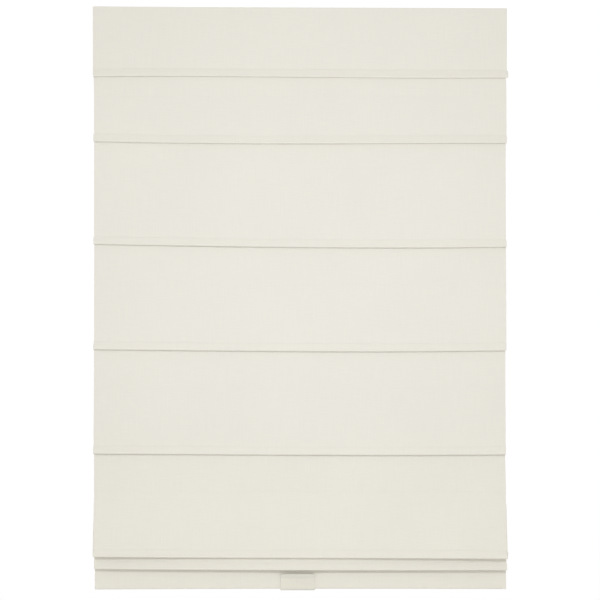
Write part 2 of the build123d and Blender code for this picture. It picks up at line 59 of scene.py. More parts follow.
# ---------------------------------------------------------------------------
# Sizes, in millimetres. x to the right, y into the wall, z up.
# ---------------------------------------------------------------------------
CLOTH = 0.6
HALF = CLOTH / 2
TOP = 17.0
Y_CLOTH = -43.7
LIPS = [134.4, 262.9, 463.1, 664.8, 866.0, 1065.2, 1088.4]
RIBS = [171.6, 311.1, 535.9, 737.4, 938.0, 961.3, 984.5]
BOTTOM = 1127.5
TUCK = 15.5
FORWARD = [0, 0, 0, 0, 0, 11.0, 5.5]
LAYER = 0.75
TOP_HEM = 26.0
BOTTOM_HEM = 40.0
HEM_POCKET = 6.4
ROD_R = 1.6
ROD_BACK = -1.6
ROD_WRAP = 2.2
ROD_LENGTH = 794.0
RIB_CLOTH_Y = 1.7
SLEEVE_Y = 5.6
SLEEVE_DROP = 3.4
TAPE_LENGTH = 780.0
CORD_X = 285.0
CORD_Y = 14.0
CORD_R = 0.7
RAIL_FRONT = -40.2
RAIL_TOP = 15.0
RAIL_LENGTH = 786.0
SHAFT_Y = -21.2
SHAFT_Z = -1.0
SPOOL_R = 7.8
HANDLE_X = -4.6
HANDLE_WIDTH = 66.6
HANDLE_HEIGHT = 33.1
HANDLE_WALL = 1.6
HANDLE_DROP = 1.6
MOTOR_X = 120.0
MOTOR_LENGTH = 40.0
HEADROOM = 34.0  # the cloth is held flat against the rail for this far

# How the cloth hangs: each tuck's rise above its mean height at five places across
# the width, and how far it sits back from its mean plane.
ACROSS = [-376.0, -182.0, 12.0, 205.0, 374.0]
LIP_RISE = [
    [0.3, 0.2, -1.1, -2.7, -2.5],
    [2.3, -0.6, -1.8, -0.8, -0.6],
    [3.8, 0.7, -2.5, -2.4, -1.8],
    [1.8, -0.2, -1.9, -1.9, -0.4],
    [1.2, 0.2, -1.5, -1.1, -0.2],
    [2.9, 0.9, 0.2, 0.0, -0.3],
    [1.4, 0.3, -1.1, -0.4, -0.4],
]
LIP_BACK = [
    [0.0, 0.0, 0.0, 0.0, 0.0],
    [0.0, 0.0, 0.0, 0.0, 0.0],
    [0.0, 0.0, 0.0, 0.0, 0.0],
    [0.0, 0.0, 0.0, 0.0, 0.0],
    [-2.2, -0.4, 0.0, -1.6, -3.6],
    [-4.4, -1.2, 0.6, -3.2, -6.4],
    [-1.6, -2.2, -2.6, -2.6, -3.2],
]
SET_BACK = [0.2, 0.7, 1.2, 1.2, 1.4]
TOP_RISE = [1.9, 0.6, -0.2, -0.8, -1.5]
BOTTOM_RISE = [-0.4, 0.4, 1.0, 0.6, 0.4]

# The cloth's two edges at each station, outward from its nominal half width (left, right),
# and how much further a tuck's ends stand out.
EDGES_TOP = (1.3, 0.8)
EDGES_TUCK = [(1.2, 0.8), (-0.9, 0.1), (-0.9, -1.2), (-0.9, -0.3), (-0.4, -1.9), (-1.6, -2.2), (-2.6, -1.4)]
EDGES_FALL = [(0.3, -0.8), (-0.9, -0.9), (-0.9, -0.6), (-0.5, -1.9), (-0.8, -2.9), (-0.6, -0.2), (-2.2, -1.4)]
EDGES_RIB = [(-0.7, 0.0), (-0.9, -1.4), (-0.9, -0.4), (-0.5, -2.0), (-0.8, -0.9), (-0.6, -0.2), (-2.4, -1.6)]
TUCK_ENDS = [(0.0, 2.6), (1.0, 0.8), (0.9, 0.8), (1.0, 0.2), (0.9, 0.4), (0.5, 1.4), (0.3, 1.2)]
EDGES_BOTTOM = (-2.6, -1.0)


def smooth(t):
    t = np.clip(t, 0.0, 1.0)
    return t * t * (3 - 2 * t)


def across(values):
    """A smooth curve over x through values at the five places across the width."""
    return np.poly1d(np.polyfit(np.array(ACROSS) / 400.0, values, 3))


RISE = [across(v) for v in LIP_RISE]
BACK = [across(v) for v in LIP_BACK]
RISE_TOP, RISE_LOW = across(TOP_RISE), across(BOTTOM_RISE)


# ---------------------------------------------------------------------------
# Mesh helpers
# ---------------------------------------------------------------------------
def piece(name, verts, faces, material, uv=None, flat=False):
    """A mesh object from millimetre points."""
    mesh = bpy.data.meshes.new(name)
    mesh.from_pydata((np.asarray(verts, float) * MM).tolist(), [], [list(f) for f in faces])
    if uv is not None:
        layer = mesh.uv_layers.new(name="thread")
        loops = np.zeros(len(mesh.loops), np.int32)
        mesh.loops.foreach_get("vertex_index", loops)
        layer.data.foreach_set("uv", (np.asarray(uv, np.float32)[loops] * MM).ravel())
    mesh.polygons.foreach_set("use_smooth", [not flat] * len(mesh.polygons))
    mesh.materials.append(material)
    mesh.update()
    obj = bpy.data.objects.new(name, mesh)
    bpy.context.scene.collection.objects.link(obj)
    return obj


def grid_faces(rows, cols, closed=False):
    faces = []
    for i in range(rows - 1):
        for j in range(cols if closed else cols - 1):
            a, b = i * cols + j, i * cols + (j + 1) % cols
            faces.append((a, b, b + cols, a + cols))
    return faces


def tube(points, radius, sides=12, rounded=True):
    """(points, faces, uv) of a closed tube along a line of points, with domed or flat ends."""
    p = np.asarray(points, float)
    d = np.gradient(p, axis=0)
    d /= np.linalg.norm(d, axis=1)[:, None]
    up = np.array([0.0, 0.0, 1.0]) if abs(d[0][2]) < 0.9 else np.array([0.0, 1.0, 0.0])
    n = np.cross(d[0], up)
    n /= np.linalg.norm(n)
    along = np.r_[0, np.cumsum(np.linalg.norm(np.diff(p, axis=0), axis=1))]
    radii = np.full(len(p), float(radius)) if np.isscalar(radius) else np.asarray(radius, float)
    rings, uv = [], []
    for k in range(len(p)):
        n = n - d[k] * (n @ d[k])
        n /= np.linalg.norm(n)
        b = np.cross(d[k], n)
        for i in range(sides):
            t = 2 * math.pi * i / sides
            rings.append(p[k] + radii[k] * (math.cos(t) * n + math.sin(t) * b))
            uv.append((radii.max() * t, along[k]))
    faces = grid_faces(len(p), sides, closed=True)
    ends = []
    for k, side in ((0, -1), (len(p) - 1, 1)):
        tip = p[k] + d[k] * side * (radii[k] * 0.35 if rounded else 0.0)
        rings.append(tip)
        uv.append((0, along[k]))
        ends.append(len(rings) - 1)
    for i in range(sides):
        j = (i + 1) % sides
        faces.append((ends[0], j, i))
        faces.append((ends[1], (len(p) - 1) * sides + i, (len(p) - 1) * sides + j))
    return np.array(rings), faces, np.array(uv)


def gathered(parts):
    """Several (points, faces, uv) as one."""
    verts, faces, uv, n = [], [], [], 0
    for v, f, u in parts:
        verts.append(v)
        uv.append(u)
        faces += [tuple(i + n for i in face) for face in f]
        n += len(v)
    return np.concatenate(verts), faces, np.concatenate(uv)


def sharp(obj, degrees=35.0):
    obj.data.set_sharp_from_angle(angle=math.radians(degrees))


# ---------------------------------------------------------------------------
# Materials
# ---------------------------------------------------------------------------
def shader(name, colour, rough, **sockets):
    """A Principled material, its node tree and its shader."""
    m = bpy.data.materials.new(name)
    m.use_nodes = True
    m.diffuse_color = (*colour, 1)
    bsdf = m.node_tree.nodes["Principled BSDF"]
    bsdf.inputs["Base Color"].default_value = (*colour, 1)
    bsdf.inputs["Roughness"].default_value = rough
    for key, value in sockets.items():
        bsdf.inputs[key.replace("_", " ")].default_value = value
    return m, m.node_tree, bsdf


def node(tree, kind, **values):
    n = tree.nodes.new(kind)
    for key, value in values.items():
        setattr(n, key, value)
    return n


def maths(tree, operation, a, b=None):
    n = node(tree, "ShaderNodeMath", operation=operation)
    for i, x in enumerate((a, b)):
        if x is None:
            continue
        if isinstance(x, (int, float)):
            n.inputs[i].default_value = x
        else:
            tree.links.new(x, n.inputs[i])
    return n.outputs[0]


def coordinates(tree, kind="Object", scale=(1, 1, 1)):
    c = node(tree, "ShaderNodeTexCoord")
    m = node(tree, "ShaderNodeMapping")
    m.inputs["Scale"].default_value = scale
    tree.links.new(c.outputs[kind], m.inputs["Vector"])
    return m.outputs["Vector"]


def noise_of(tree, vector, scale, detail=2.0, rough=0.5):
    n = node(tree, "ShaderNodeTexNoise")
    n.inputs["Scale"].default_value = scale
    n.inputs["Detail"].default_value = detail
    n.inputs["Roughness"].default_value = rough
    tree.links.new(vector, n.inputs["Vector"])
    return n.outputs["Fac"]


def spread(tree, value, low, high, to_low=0.0, to_high=1.0):
    n = node(tree, "ShaderNodeMapRange")
    for key, x in (("From Min", low), ("From Max", high), ("To Min", to_low), ("To Max", to_high)):
        n.inputs[key].default_value = x
    tree.links.new(value, n.inputs["Value"])
    return n.outputs["Result"]


def mixed(tree, fac, a, b):
    """Two colours, or a colour output and a colour, mixed by a value."""
    n = node(tree, "ShaderNodeMix", data_type="RGBA")
    tree.links.new(fac, n.inputs["Factor"])
    for key, x in (("A", a), ("B", b)):
        socket = [s for s in n.inputs if s.name == key and s.type == "RGBA"][0]
        if isinstance(x, tuple):
            socket.default_value = (*x, 1)
        else:
            tree.links.new(x, socket)
    return [s for s in n.outputs if s.type == "RGBA"][0]


def bumped(tree, bsdf, height, strength, distance):
    n = node(tree, "ShaderNodeBump")
    n.inputs["Strength"].default_value = strength
    n.inputs["Distance"].default_value = distance
    tree.links.new(height, n.inputs["Height"])
    tree.links.new(n.outputs["Normal"], bsdf.inputs["Normal"])


def scaled(colour, k):
    return tuple(c * k for c in colour)


def woven(name, colour, pitch, rough=0.86, relief=0.35, streak=0.045, mottle=0.02, **sockets):
    """Plain-weave cloth. Its threads follow the piece's own lengths, with slubs along both ways."""
    m, t, bsdf = shader(name, colour, rough, **sockets)
    uv = node(t, "ShaderNodeUVMap", uv_map="thread").outputs["UV"]
    wave = noise_of(t, uv, 45.0, 1.0)
    parts = node(t, "ShaderNodeSeparateXYZ")
    t.links.new(uv, parts.inputs[0])
    wander = maths(t, "MULTIPLY", wave, 1.6)
    warp = maths(t, "SINE", maths(t, "ADD", maths(t, "MULTIPLY", parts.outputs[0], math.pi / pitch), wander))
    weft = maths(t, "SINE", maths(t, "SUBTRACT", maths(t, "MULTIPLY", parts.outputs[1], math.pi / pitch), wander))
    cross = maths(t, "MULTIPLY", warp, weft)
    long_x = node(t, "ShaderNodeMapping")
    long_x.inputs["Scale"].default_value = (1 / 0.035, 1 / (2.2 * pitch), 1)
    t.links.new(uv, long_x.inputs["Vector"])
    long_y = node(t, "ShaderNodeMapping")
    long_y.inputs["Scale"].default_value = (1 / (2.2 * pitch), 1 / 0.05, 1)
    t.links.new(uv, long_y.inputs["Vector"])
    slub_x = noise_of(t, long_x.outputs["Vector"], 1.0, 2.0)
    slub_y = noise_of(t, long_y.outputs["Vector"], 1.0, 2.0)
    slubs = maths(t, "ADD", slub_x, slub_y)
    tone = spread(t, slubs, 0.7, 1.3)
    patches = noise_of(t, coordinates(t), 5.5, 3.0, 0.55)
    base = mixed(t, tone, scaled(colour, 1 - streak), scaled(colour, 1 + 0.4 * streak))
    shade = mixed(t, spread(t, patches, 0.3, 0.7), scaled(colour, 1 - mottle), scaled(colour, 1 + 0.5 * mottle))
    both = node(t, "ShaderNodeMix", data_type="RGBA", blend_type="MIX")
    both.inputs["Factor"].default_value = 0.5
    sockets_in = [s for s in both.inputs if s.type == "RGBA"]
    t.links.new(base, sockets_in[0])
    t.links.new(shade, sockets_in[1])
    t.links.new([s for s in both.outputs if s.type == "RGBA"][0], bsdf.inputs["Base Color"])
    height = maths(t, "ADD", maths(t, "MULTIPLY", cross, 0.5), slubs)
    bumped(t, bsdf, height, relief, 0.00016)
    return m


def moulded(name, colour, rough=0.42, grain=900.0, relief=0.18, **sockets):
    """Moulded plastic with a fine spark-eroded grain and faint flow marks."""
    m, t, bsdf = shader(name, colour, rough, **sockets)
    at = coordinates(t)
    flow = noise_of(t, at, 26.0, 3.0)
    t.links.new(mixed(t, spread(t, flow, 0.3, 0.7), scaled(colour, 0.955), scaled(colour, 1.0)), bsdf.inputs["Base Color"])
    fine = noise_of(t, at, grain, 2.0)
    t.links.new(spread(t, fine, 0.3, 0.7, rough - 0.06, rough + 0.08), bsdf.inputs["Roughness"])
    bumped(t, bsdf, fine, relief, 0.00012)
    return m


def metal(name, colour, rough, stretch, wear=0.12, **sockets):
    """Drawn or plated metal, with its grain along one axis and duller patches."""
    m, t, bsdf = shader(name, colour, rough, Metallic=1.0, **sockets)
    drawn = noise_of(t, coordinates(t, scale=stretch), 1.0, 3.0)
    patches = noise_of(t, coordinates(t), 42.0, 4.0, 0.6)
    t.links.new(
        mixed(t, spread(t, patches, 0.35, 0.7), scaled(colour, 1.0), scaled(colour, 1 - wear)),
        bsdf.inputs["Base Color"],
    )
    t.links.new(spread(t, drawn, 0.3, 0.7, rough - 0.08, rough + 0.12), bsdf.inputs["Roughness"])
    bumped(t, bsdf, drawn, 0.12, 0.00008)
    return m


CLOTH_COLOUR = (0.785, 0.762, 0.698)
cloth = woven(
    "off_white_cloth", CLOTH_COLOUR, 0.00062,
    Specular_IOR_Level=0.22, Sheen_Weight=0.08, Sheen_Roughness=0.45,
)
thread = woven(
    "sewing_thread", (0.80, 0.775, 0.705), 0.00022, rough=0.7, relief=0.2,
    Specular_IOR_Level=0.3, Sheen_Weight=0.1,
)
webbing = woven(
    "pocket_tape", (0.80, 0.79, 0.76), 0.00045, rough=0.8, relief=0.5, streak=0.06,
    Specular_IOR_Level=0.25, Sheen_Weight=0.12,
)

# braided cord: two sets of crossing plaits
cord, tree, bsdf = shader("braided_cord", (0.80, 0.785, 0.74), 0.72, Sheen_Weight=0.15, Specular_IOR_Level=0.3)
uv = node(tree, "ShaderNodeUVMap", uv_map="thread").outputs["UV"]
parts = node(tree, "ShaderNodeSeparateXYZ")
tree.links.new(uv, parts.inputs[0])
around = maths(tree, "MULTIPLY", parts.outputs[0], 4 * math.pi / (2 * math.pi * CORD_R * MM))
along = maths(tree, "MULTIPLY", parts.outputs[1], math.pi / 0.0011)
one = maths(tree, "SINE", maths(tree, "ADD", around, along))
two = maths(tree, "SINE", maths(tree, "SUBTRACT", around, along))
plait = maths(tree, "MAXIMUM", one, two)
tree.links.new(
    mixed(tree, spread(tree, plait, -0.2, 1.0), (0.68, 0.66, 0.61), (0.82, 0.805, 0.76)),
    bsdf.inputs["Base Color"],
)
bumped(tree, bsdf, plait, 0.6, 0.00018)

# pultruded fibre rod: fine lengthwise fibres in a pale resin
fibre, tree, bsdf = shader("fibre_rod", (0.80, 0.79, 0.72), 0.34, Specular_IOR_Level=0.5)
strands = noise_of(tree, coordinates(tree, scale=(6, 2600, 2600)), 1.0, 3.0)
tree.links.new(
    mixed(tree, spread(tree, strands, 0.3, 0.7), (0.70, 0.69, 0.61), (0.83, 0.82, 0.76)),
    bsdf.inputs["Base Color"],
)
bumped(tree, bsdf, strands, 0.25, 0.00010)

# powder-coated rail: orange peel, with the coat worn thin on a few spots
rail_paint, tree, bsdf = shader("rail_paint", (0.82, 0.82, 0.80), 0.38, Specular_IOR_Level=0.5, Coat_Weight=0.1)
peel = noise_of(tree, coordinates(tree), 620.0, 2.0)
cloud = noise_of(tree, coordinates(tree, scale=(3, 30, 30)), 1.0, 3.0)
tree.links.new(
    mixed(tree, spread(tree, cloud, 0.3, 0.75), (0.83, 0.83, 0.81), (0.78, 0.78, 0.755)),
    bsdf.inputs["Base Color"],
)
tree.links.new(spread(tree, peel, 0.3, 0.7, 0.32, 0.46), bsdf.inputs["Roughness"])
bumped(tree, bsdf, peel, 0.22, 0.00025)

# galvanised bar: spangles
bar_steel, tree, bsdf = shader("galvanised_bar", (0.60, 0.61, 0.62), 0.4, Metallic=1.0)
cells = node(tree, "ShaderNodeTexVoronoi", feature="F1")
cells.inputs["Scale"].default_value = 190.0
tree.links.new(coordinates(tree), cells.inputs["Vector"])
grey = node(tree, "ShaderNodeRGBToBW")
tree.links.new(cells.outputs["Color"], grey.inputs[0])
tree.links.new(
    mixed(tree, spread(tree, grey.outputs[0], 0.2, 0.8), (0.50, 0.51, 0.53), (0.68, 0.69, 0.70)),
    bsdf.inputs["Base Color"],
)
tree.links.new(spread(tree, grey.outputs[0], 0.2, 0.8, 0.30, 0.52), bsdf.inputs["Roughness"])

zinc = metal("bright_zinc", (0.66, 0.68, 0.71), 0.34, (40, 2200, 2200))
shaft_steel = metal("drawn_steel", (0.56, 0.57, 0.58), 0.28, (30, 2600, 2600))
spring_steel = metal("blued_spring_steel", (0.22, 0.24, 0.29), 0.30, (2200, 60, 60), wear=0.25)
white_plastic = moulded("white_moulding", (0.80, 0.80, 0.78))
ring_plastic = moulded(
    "clear_ring", (0.88, 0.89, 0.89), rough=0.16, grain=500.0,
    Transmission_Weight=0.72, IOR=1.49, Specular_IOR_Level=0.5,
)
handle_plastic = moulded(
    "milky_handle", (0.716, 0.697, 0.638), rough=0.28, grain=900.0, relief=0.03,
    IOR=1.49, Specular_IOR_Level=0.45, Coat_Weight=0.1,
)


def pile(name, colour, size):
    """The hooks or loops of a fastening tape, as close rows of tufts, with painted shade darkening the tape in the
    hollows between them.
    """
    m, t, bsdf = shader(name, colour, 0.9, Sheen_Weight=0.2, Specular_IOR_Level=0.2)
    tufts = node(t, "ShaderNodeTexVoronoi", feature="F1")
    tufts.inputs["Scale"].default_value = size
    t.links.new(coordinates(t), tufts.inputs["Vector"])
    height = maths(t, "SUBTRACT", 1.0, tufts.outputs["Distance"])
    # painted shade: the colour falls to 72% where the tufts are low, between them
    t.links.new(
        mixed(t, spread(t, height, 0.3, 1.0), scaled(colour, 0.72), scaled(colour, 1.0)),
        bsdf.inputs["Base Color"],
    )
    bumped(t, bsdf, height, 0.8, 0.0005)
    return m


hook_pile = pile("hook_tape_pile", (0.76, 0.76, 0.74), 620.0)
loop_pile = pile("loop_tape_pile", (0.79, 0.78, 0.75), 900.0)


# ---------------------------------------------------------------------------
# Camera, light and floor
# ---------------------------------------------------------------------------
scene = bpy.context.scene
scene.view_settings.view_transform = "Standard"
scene.view_settings.look = "None"

camera = bpy.data.objects.new("camera", bpy.data.cameras.new("camera"))
scene.collection.objects.link(camera)
camera.data.lens = 100.0
camera.data.sensor_width = 36.0
camera.location = (0.0, -0.0437 - 0.5811 / 0.18, -0.5498)
camera.rotation_euler = (math.pi / 2, 0, 0)
scene.camera = camera

FRONT_LIGHT = 0.70
world = bpy.data.worlds.new("studio")
world.use_nodes = True
tree = world.node_tree
sky = node(tree, "ShaderNodeSeparateXYZ")
tree.links.new(node(tree, "ShaderNodeTexCoord").outputs["Generated"], sky.inputs[0])
ahead = spread(tree, sky.outputs["Y"], 0.0, 0.85)
ahead.node.interpolation_type = "SMOOTHSTEP"
tree.links.new(mixed(tree, ahead, (1.0, 0.982, 0.93), (1.0, 1.0, 1.0)), tree.nodes["Background"].inputs["Color"])
tree.links.new(spread(tree, ahead, 0.0, 1.0, FRONT_LIGHT, 1.02), tree.nodes["Background"].inputs["Strength"])
scene.world = world

key = bpy.data.objects.new("key_light", bpy.data.lights.new("key_light", "AREA"))
key.data.shape = "RECTANGLE"
key.data.size, key.data.size_y = 0.5, 0.4
key.data.energy = 5.1
key.data.color = (0.95, 0.98, 1.04)
key.data.spread = math.radians(105)
key.location = (0.05, -2.1, 0.13)
key.rotation_euler = (Vector((0, -0.04, -0.80)) - key.location).to_track_quat("-Z", "Y").to_euler()
scene.collection.objects.link(key)

# a weak strip light, low in front, for the two short folds and the hem, which face it squarely
low_fill = bpy.data.objects.new("low_fill", bpy.data.lights.new("low_fill", "AREA"))
low_fill.data.shape = "RECTANGLE"
low_fill.data.size, low_fill.data.size_y = 1.6, 0.06
low_fill.data.energy = 0.075
low_fill.data.color = (1.0, 0.965, 0.45)
low_fill.data.spread = math.radians(40)
low_fill.location = (0.06, -1.05, -1.25)
low_fill.rotation_euler = (Vector((0.06, -0.05, -1.15)) - low_fill.location).to_track_quat("-Z", "Y").to_euler()
low_fill.visible_camera = False
scene.collection.objects.link(low_fill)

FLOOR_Z, FLOOR_R = -1530.0, 7000.0
rings = np.r_[np.linspace(0.001, 3000, 12), np.linspace(3500, FLOOR_R, 8)]
sides = 96
verts = [(r * math.cos(2 * math.pi * i / sides), r * math.sin(2 * math.pi * i / sides), FLOOR_Z) for r in rings for i in range(sides)]
floor_paint_and_glow, tree, bsdf = shader("pale_floor", (0.63, 0.62, 0.585), 0.85)
grain = noise_of(tree, coordinates(tree), 3.0, 4.0)
tree.links.new(mixed(tree, grain, (0.61, 0.60, 0.565), (0.65, 0.64, 0.605)), bsdf.inputs["Base Color"])
far = node(tree, "ShaderNodeVectorMath", operation="LENGTH")
tree.links.new(coordinates(tree), far.inputs[0])
glow = node(tree, "ShaderNodeEmission")
# painted light: past 0.8 m the floor fades into an emission that glows white, and at its rim with the colour of the
# light beyond it (dimmer and warmer in front), so no horizon shows
place = node(tree, "ShaderNodeSeparateXYZ")
tree.links.new(coordinates(tree), place.inputs[0])
rim = maths(tree, "DIVIDE", place.outputs["Y"], maths(tree, "MAXIMUM", far.outputs["Value"], 0.001))
rim = spread(tree, rim, 0.0, 0.85)
rim.node.interpolation_type = "SMOOTHSTEP"
beyond = mixed(tree, rim, (FRONT_LIGHT, 0.982 * FRONT_LIGHT, 0.93 * FRONT_LIGHT), (1.02, 1.02, 1.02))
outer = spread(tree, far.outputs["Value"], 3.0, 6.8)
outer.node.interpolation_type = "SMOOTHSTEP"
tree.links.new(mixed(tree, outer, (1.0, 1.0, 1.0), beyond), glow.inputs["Color"])
blend = node(tree, "ShaderNodeMixShader")
fade = node(tree, "ShaderNodeMapRange", interpolation_type="SMOOTHSTEP")
for socket, value in (("From Min", 0.8), ("From Max", 2.5), ("To Min", 0.0), ("To Max", 1.0)):
    fade.inputs[socket].default_value = value
tree.links.new(far.outputs["Value"], fade.inputs["Value"])
tree.links.new(fade.outputs["Result"], blend.inputs[0])
tree.links.new(bsdf.outputs[0], blend.inputs[1])
tree.links.new(glow.outputs[0], blend.inputs[2])
tree.links.new(blend.outputs[0], tree.nodes["Material Output"].inputs["Surface"])
floor = piece("floor", verts, grid_faces(len(rings), sides, closed=True), floor_paint_and_glow, flat=True)


# ---------------------------------------------------------------------------
# The cloth: one strip, laid along its folded path, with its own small unevenness
# ---------------------------------------------------------------------------
def yz(y, below):
    return (Y_CLOTH + y, TOP - below)


def bent(points, radii):
    """Straight runs and tangent arcs along a path; an arc carries its corner's number."""
    runs, at = [], points[0]
    for k in range(1, len(points) - 1):
        p, r = np.array(points[k]), radii[k - 1]
        u, v = np.array(points[k - 1]) - p, np.array(points[k + 1]) - p
        u, v = u / np.linalg.norm(u), v / np.linalg.norm(v)
        phi = math.acos(max(-1, min(1, float(u @ v))))
        t = r / math.tan(phi / 2)
        w = (u + v) / np.linalg.norm(u + v)
        a, b, c = p + u * t, p + v * t, p + w * r / math.sin(phi / 2)
        turn = 1 if (-u[0]) * v[1] - (-u[1]) * v[0] > 0 else -1
        if np.linalg.norm(a - np.array(at)) > 1e-6:
            runs.append(("line", at, a))
        runs.append(("arc", a, b, c, r, turn, k))
        at = b
    runs.append(("line", at, points[-1]))
    return runs


def sampled(runs, step=5.0, angle=8.0):
    """Lengths along a path, its points, and each corner's (first, middle, last) length."""
    length, s, pts, corner = 0.0, [0.0], [tuple(runs[0][1])], {}
    for run in runs:
        a, b = np.array(run[1]), np.array(run[2])
        if run[0] == "line":
            d = float(np.linalg.norm(b - a))
            n = max(1, math.ceil(d / step))
            for i in range(1, n + 1):
                s.append(length + d * i / n)
                pts.append(tuple(a + (b - a) * i / n))
        else:
            c, r, turn, k = np.array(run[3]), run[4], run[5], run[6]
            t0, t1 = math.atan2(*(a - c)[::-1]), math.atan2(*(b - c)[::-1])
            sweep = (t1 - t0) % (2 * math.pi) if turn > 0 else -((t0 - t1) % (2 * math.pi))
            d = abs(sweep) * r
            n = max(2, math.ceil(abs(math.degrees(sweep)) / angle), math.ceil(d / step))
            for i in range(1, n + 1):
                t = t0 + sweep * i / n
                s.append(length + d * i / n)
                pts.append((c[0] + r * math.cos(t), c[1] + r * math.sin(t)))
            corner[k] = (length, length + d / 2, length + d)
        length += d
    return np.array(s), np.array(pts), corner


def rod_centre(k):
    return (-FORWARD[k] + ROD_BACK, LIPS[k] - HALF - ROD_WRAP)


def tuck_points(k):
    q, c = (-FORWARD[k], LIPS[k] - TUCK), rod_centre(k)
    low = c[1] + ROD_WRAP
    d = (c[0] - q[0], c[1] - q[1])
    angle = math.atan2(d[1], d[0]) + math.asin(ROD_WRAP / math.hypot(*d))
    reach = (low - q[1]) / math.sin(angle)
    return [(q, 20.0), ((q[0] + reach * math.cos(angle), low), ROD_WRAP), ((c[0] + ROD_WRAP, low), ROD_WRAP)]


corners = [((LAYER, TOP_HEM), None, "start"), ((LAYER, HALF), LAYER / 2, "top"), ((0, HALF), LAYER / 2, "front")]
for k in range(7):
    q = (-FORWARD[k], LIPS[k] - TUCK)
    corners += [(p, r, f"{tag}{k}") for (p, r), tag in zip(tuck_points(k), ("stitch", "lip", "behind"))]
    if RIBS[k] > LIPS[k]:
        corners += [
            ((q[0] + LAYER, q[1] - LAYER / 2), LAYER / 2, f"turn{k}"),
            ((q[0] + 2 * LAYER, q[1] - LAYER / 2), LAYER / 2, f"out{k}"),
            ((RIB_CLOTH_Y, RIBS[k]), 30.0, f"rib{k}"),
        ]
    else:
        corners += [
            ((q[0] + LAYER + 0.05, q[1] - 0.5), 20.0, f"out{k}"),
            ((RIB_CLOTH_Y - 1.6, RIBS[k] + HALF), 0.72, f"rib{k}"),
            ((RIB_CLOTH_Y, RIBS[k] + HALF), 0.72, f"over{k}"),
        ]
        if k < 6:
            corners += [((-1.25, RIBS[k] + 23.0), 20.0, f"pass{k}")]
corners += [
    ((0, BOTTOM - 46.0), 40.0, "low"),
    ((0, BOTTOM - HALF), 3.1, "edge"),
    ((HEM_POCKET, BOTTOM - HALF), 3.1, "edge_back"),
    ((HEM_POCKET, BOTTOM - BOTTOM_HEM + 9.0), 4.0, "hem"),
    ((LAYER, BOTTOM - BOTTOM_HEM), 4.0, "hem_top"),
    ((LAYER, BOTTOM - BOTTOM_HEM - 7.0), None, "end"),
]
S, PATH, CORNER = sampled(bent([yz(*p) for p, _, _ in corners], [r for _, r, _ in corners[1:-1]]))
TAG = {tag: i for i, (_, _, tag) in enumerate(corners)}


def at(tag, which=1):
    return CORNER[TAG[tag]][which]


# where each part of the strip begins and ends, as lengths along it
STITCH = [at(f"stitch{k}") for k in range(7)]
TURN = [at(f"out{k}", 2) if RIBS[k] > LIPS[k] else at(f"out{k}") for k in range(7)]
RIB = [at(f"rib{k}") if RIBS[k] > LIPS[k] else at(f"rib{k}", 2) for k in range(7)]
HEAD = at("front", 2) + HEADROOM - HALF - LAYER / 2
END = float(S[-1])

# how far each station's points stand off the nominal path: (length, rise, back, left edge, right edge)
level = np.poly1d([0.0])
STATIONS = [
    (0.0, RISE_TOP, level, *EDGES_TOP),
    (at("front", 2), RISE_TOP, level, *EDGES_TOP),
]
for k in range(7):
    STATIONS += [
        (STITCH[k], RISE[k], BACK[k], *EDGES_TUCK[k]),
        (TURN[k], RISE[k], BACK[k], *EDGES_FALL[k]),
        (RIB[k], level, level, *EDGES_RIB[k]),
    ]
STATIONS += [(at("low"), RISE_LOW, level, *EDGES_BOTTOM), (END, RISE_LOW, level, *EDGES_BOTTOM)]

COLUMNS = np.r_[-400, -399.6, -398.6, -397, np.linspace(-395, 395, 159), 397, 398.6, 399.6, 400]


def hang(s, x):
    """Where a point of the strip hangs: length s along it, x across it (arrays of one size)."""
    y = np.interp(s, S, PATH[:, 0])
    z = np.interp(s, S, PATH[:, 1])
    at_s = np.array([st[0] for st in STATIONS])
    i = np.clip(np.searchsorted(at_s, s, side="right") - 1, 0, len(STATIONS) - 2)
    t = smooth((s - at_s[i]) / (at_s[i + 1] - at_s[i]))
    rise, back, left, right = (np.zeros_like(s) for _ in range(4))
    for k in range(len(STATIONS) - 1):
        m = i == k
        if m.any():
            a, b = STATIONS[k], STATIONS[k + 1]
            u = x[m] / 400.0
            rise[m] = a[1](u) * (1 - t[m]) + b[1](u) * t[m]
            back[m] = a[2](u) * (1 - t[m]) + b[2](u) * t[m]
            left[m] = a[3] * (1 - t[m]) + b[3] * t[m]
            right[m] = a[4] * (1 - t[m]) + b[4] * t[m]
    # the legs beside a folded tuck lie against each other, so both lean by their height
    below = TOP - z
    for k in (5, 6):
        m = (s > RIB[k - 1]) & (s < RIB[k])
        lean = smooth((below[m] - RIBS[k]) / (LIPS[k] - TUCK - RIBS[k]))
        back[m] = BACK[k](x[m] / 400.0) * lean
    hem = (s > RIB[6]) & (s < END)
    back[hem] += 1.1 * smooth((below[hem] - 1040.0) / 36.0) * smooth((BOTTOM - 8.0 - below[hem]) / 24.0)
    for k in range(7):
        inside = smooth((s - STITCH[k] - 0.5) / 3.0) * smooth((TURN[k] - 1.5 - s) / 3.0)
        left += TUCK_ENDS[k][0] * inside
        right += TUCK_ENDS[k][1] * inside
        # the stitching draws the cloth in a little, with faint puckers beside it
        gap = np.abs(s - STITCH[k])
        back += 0.04 * np.exp(-((gap / 1.2) ** 2))
        back += 0.05 * np.exp(-gap / 9.0) * np.sin(x / 3.9 + 1.7 * np.sin(x / 47.0 + k)) * smooth(gap / 2.0)
        # the panel behind a tuck stands back from it
        if k < 5:
            fall = RIB[k] - TURN[k]
            away = (s - TURN[k]) / fall
            m = (away > 0) & (away < 1)
            back[m] += SET_BACK[k] * smooth(away[m] * fall / 9.0) * (1 - smooth((away[m] - 0.45) / 0.55))
    x2 = x - left * smooth((-x - 330.0) / 70.0) + right * smooth((x - 330.0) / 70.0)
    return x2, y + back, z + rise


